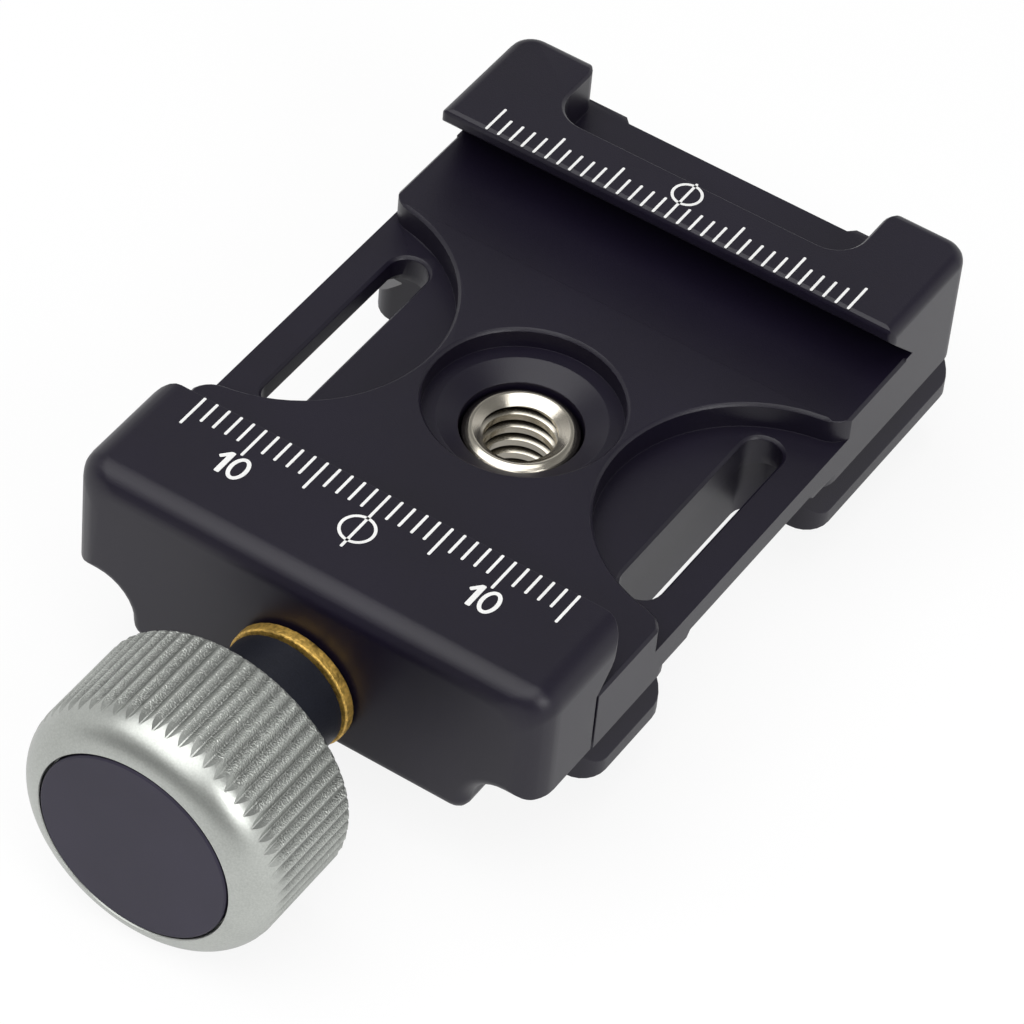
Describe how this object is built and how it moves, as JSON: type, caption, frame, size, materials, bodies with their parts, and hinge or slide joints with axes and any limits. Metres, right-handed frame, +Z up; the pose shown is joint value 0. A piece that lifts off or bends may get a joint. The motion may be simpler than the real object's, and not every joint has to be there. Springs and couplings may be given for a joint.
{
  "type": "dovetail quick release clamp",
  "caption": "Compact dovetail quick release clamp with a screw-driven sliding jaw, fluted knob, slotted platform with a threaded bush, and a dovetail foot.",
  "frame": {"origin": "centre of the bounding box's bottom, under the middle of the clamp, at the height of the knob's lowest point", "axes": "+X along the jaws, +Y from the knob towards the fixed jaw, +Z up out of the platform"},
  "size_m": [0.0378, 0.0742, 0.0199],
  "materials": {
    "black_anodised_aluminium": "black anodised, fine satin",
    "blasted_aluminium": "fine blasted, clear anodised",
    "dark_cap": "dark anodised, matte",
    "stainless_steel": "turned, bright",
    "blackened_steel": "blackened",
    "brass": "turned",
    "spring_steel": "drawn wire"
  },
  "bodies": {
    "base": {"body": "black_anodised_aluminium", "threaded_bush": "stainless_steel", "return_spring_left": "spring_steel", "return_spring_right": "spring_steel"},
    "jaw": {"sliding_jaw": "black_anodised_aluminium", "guide_pin_left": "stainless_steel", "guide_pin_right": "stainless_steel", "brass_washer": "brass", "backing_washer": "stainless_steel"},
    "handle": {"knob": "blasted_aluminium", "knob_cap": "dark_cap", "knob_screw": "blackened_steel", "knob_washer": "stainless_steel", "thrust_collar": "blackened_steel", "clamp_screw": "stainless_steel", "retaining_ring": "blackened_steel"}
  },
  "joints": [
    {"name": "jaw_slide", "type": "slide", "parent": "base", "child": "jaw", "axis": [0, -1, 0], "range_m": [0, 0.006], "deforming": ["return_spring_left", "return_spring_right"]},
    {"name": "knob_turn", "type": "hinge", "parent": "jaw", "child": "handle", "pos_m": [0, -0.0266, 0.00995], "axis": [0, -1, 0], "range_deg": [0, 2700]}
  ],
  "couplings": [
    {"joint": "knob_turn", "follows": "jaw_slide", "rad_per_m": 7854}
  ]
}
